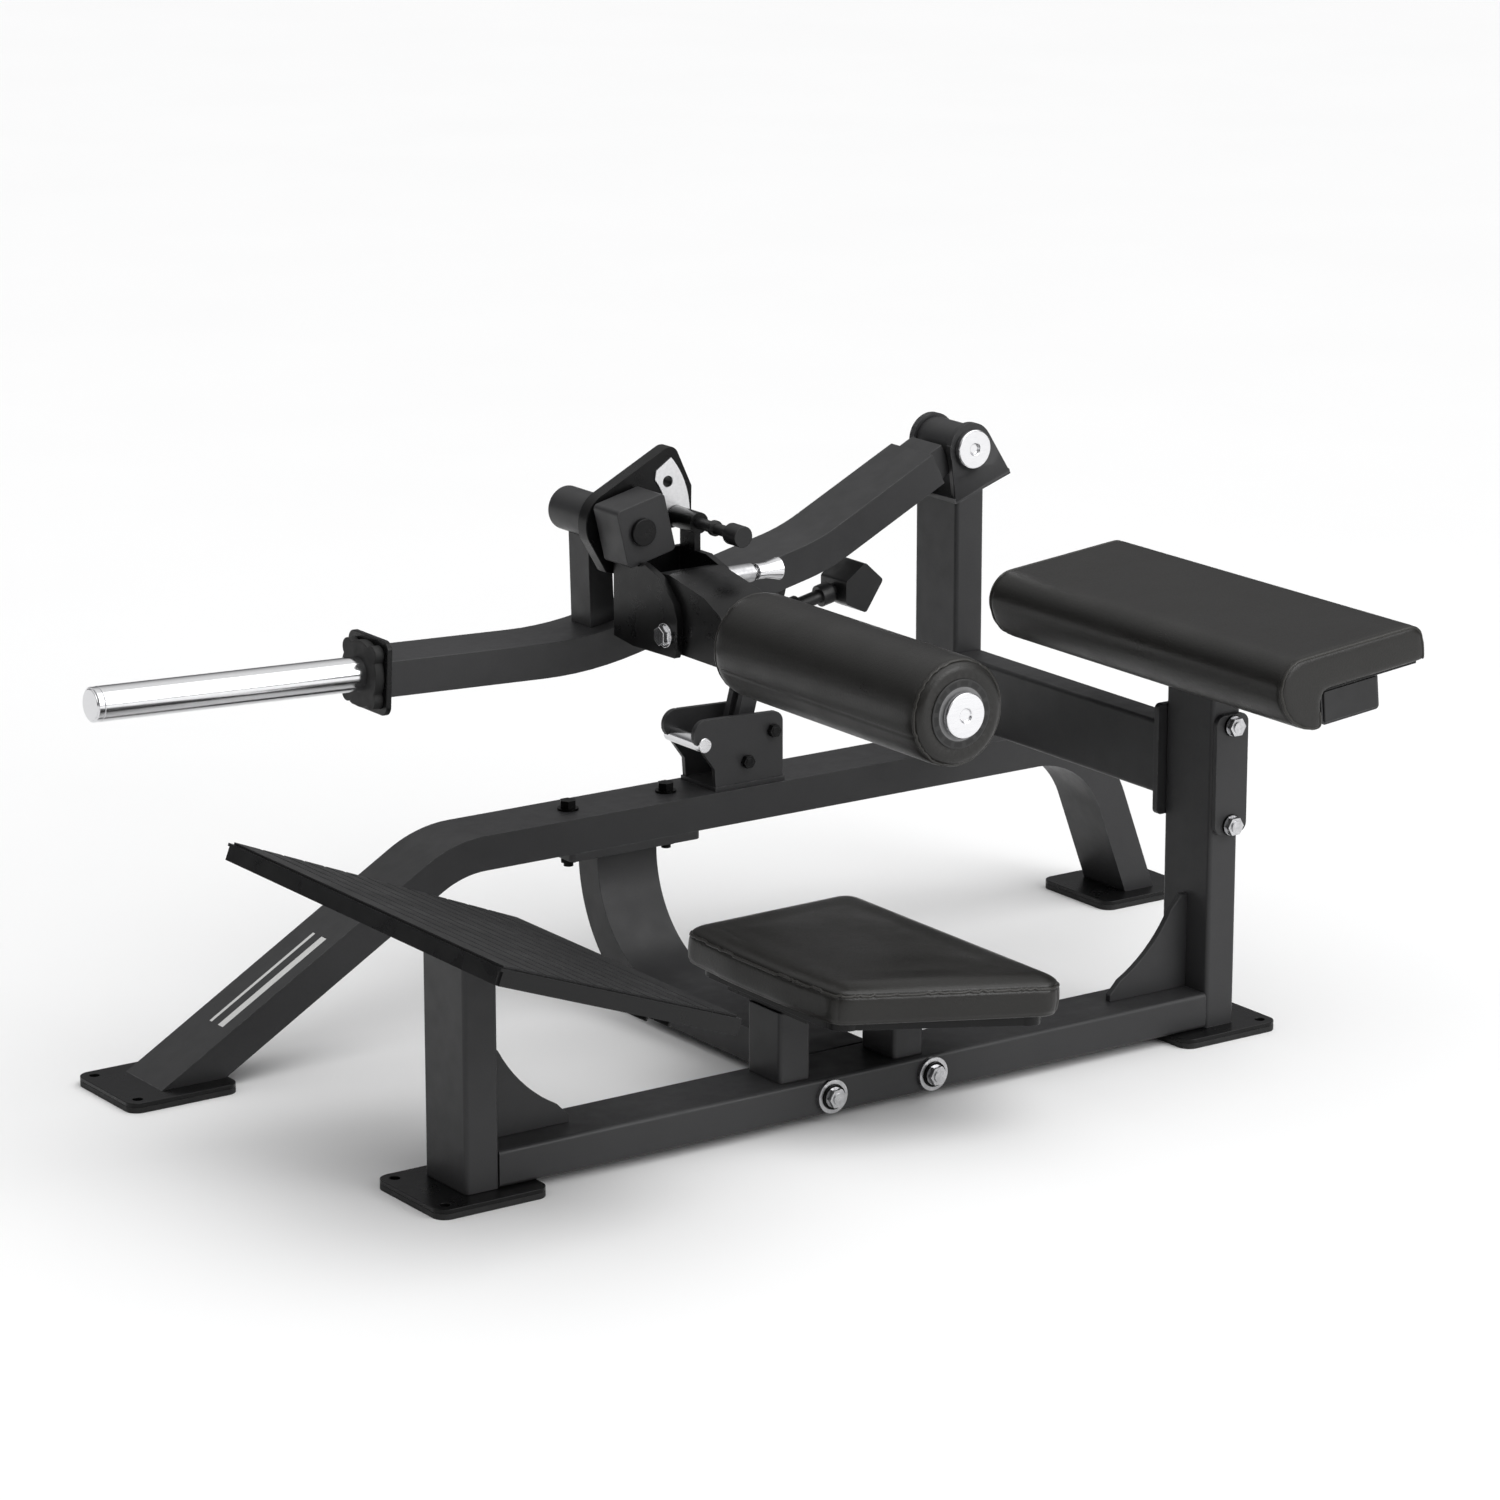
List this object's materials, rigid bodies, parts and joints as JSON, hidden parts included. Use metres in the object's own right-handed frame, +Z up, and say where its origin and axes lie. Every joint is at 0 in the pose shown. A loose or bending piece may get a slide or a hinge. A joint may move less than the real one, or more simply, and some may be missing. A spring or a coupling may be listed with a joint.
{
  "type": "hip thrust machine",
  "caption": "Plate-loaded hip thrust machine: lever arm with a padded roller over a seat, with back pad, sloping footplate and start-height catch.",
  "frame": {"origin": "on the floor under the front face of the front post, in the user's middle plane", "axes": "+X from the footplate towards the back pad, +Y towards the lever side, +Z up"},
  "size_m": [1.814, 0.995, 0.801],
  "materials": {
    "frame_paint": "satin powder coat",
    "black_paint": "satin powder coat",
    "pad_cover": "grained",
    "rubber": "matte",
    "plastic": "moulded",
    "chrome": "polished",
    "zinc": "brushed",
    "bronze": "satin"
  },
  "bodies": {
    "frame": {"base_rail": "frame_paint", "front_post": "frame_paint", "back_post": "frame_paint", "arch_tube": "frame_paint", "upright": "frame_paint", "cross_beam": "frame_paint", "curved_link": "frame_paint", "gussets": "frame_paint", "foot_front_near": "black_paint", "foot_back_near": "black_paint", "foot_front_far": "black_paint", "foot_back_far": "black_paint", "rubber_feet": "rubber", "footplate_tray": "frame_paint", "footplate_tread": "rubber", "footplate_mount": "black_paint", "footplate_rib": "black_paint", "seat_posts": "frame_paint", "seat_bracket": "black_paint", "seat_cushion": "pad_cover", "back_tube": "frame_paint", "back_board": "black_paint", "back_cushion": "pad_cover", "tube_plugs": "plastic", "clamp_plate": "frame_paint", "frame_bolts": "zinc", "pivot_bracket": "frame_paint", "pivot_shaft": "zinc", "pivot_caps": "chrome", "stop_bracket": "frame_paint", "stop_bolts": "zinc", "rest_pin": "chrome"},
    "lever": {"lever_arm": "frame_paint", "lever_sleeve": "frame_paint", "lever_bushes": "bronze", "horn_flange": "black_paint", "horn_stop": "rubber", "weight_horn": "chrome", "horn_cap": "chrome", "barrel_post": "frame_paint", "barrel": "frame_paint", "barrel_shaft": "zinc", "hub_cap": "black_paint", "sector_plate": "black_paint", "sector_strip": "chrome"},
    "catch": {"catch_strut": "frame_paint", "catch_pad": "rubber", "catch_handle": "zinc", "catch_grip": "plastic"},
    "carriage": {"hub_box": "frame_paint", "fork": "black_paint", "pin_bracket": "black_paint", "plunger_body": "zinc", "fold_bolt": "chrome"},
    "index_pin": {"index_pin": "plastic"},
    "lock_plunger": {"lock_plunger": "chrome"},
    "roller_arm": {"roller_arm": "black_paint", "roller_cap": "chrome"},
    "roller": {"roller_core": "plastic", "roller_pad": "pad_cover"}
  },
  "joints": [
    {"name": "lever_lift", "type": "hinge", "parent": "frame", "child": "lever", "pos_m": [1.229, 0.585, 0.731], "axis": [0, 1, 0], "range_deg": [0, 35]},
    {"name": "catch_swing", "type": "hinge", "parent": "frame", "child": "catch", "pos_m": [0.841, 0.585, 0.322], "axis": [0, 1, 0], "range_deg": [0, 15]},
    {"name": "carriage_swing", "type": "hinge", "parent": "lever", "child": "carriage", "pos_m": [0.6, 0.475, 0.705], "axis": [0, -1, 0], "range_deg": [0, 30]},
    {"name": "index_pin_slide", "type": "slide", "parent": "carriage", "child": "index_pin", "axis": [0, 1, 0], "range_m": [0, 0.012]},
    {"name": "roller_arm_fold", "type": "hinge", "parent": "carriage", "child": "roller_arm", "pos_m": [0.648, 0.375, 0.575], "axis": [-1, 0, 0], "range_deg": [0, 40]},
    {"name": "lock_plunger_slide", "type": "slide", "parent": "carriage", "child": "lock_plunger", "axis": [-1, 0, 0], "range_m": [0, 0.0055]},
    {"name": "roller_spin", "type": "hinge", "parent": "roller_arm", "child": "roller", "pos_m": [0.637, 0, 0.5875], "axis": [0, 1, 0], "continuous": true}
  ]
}
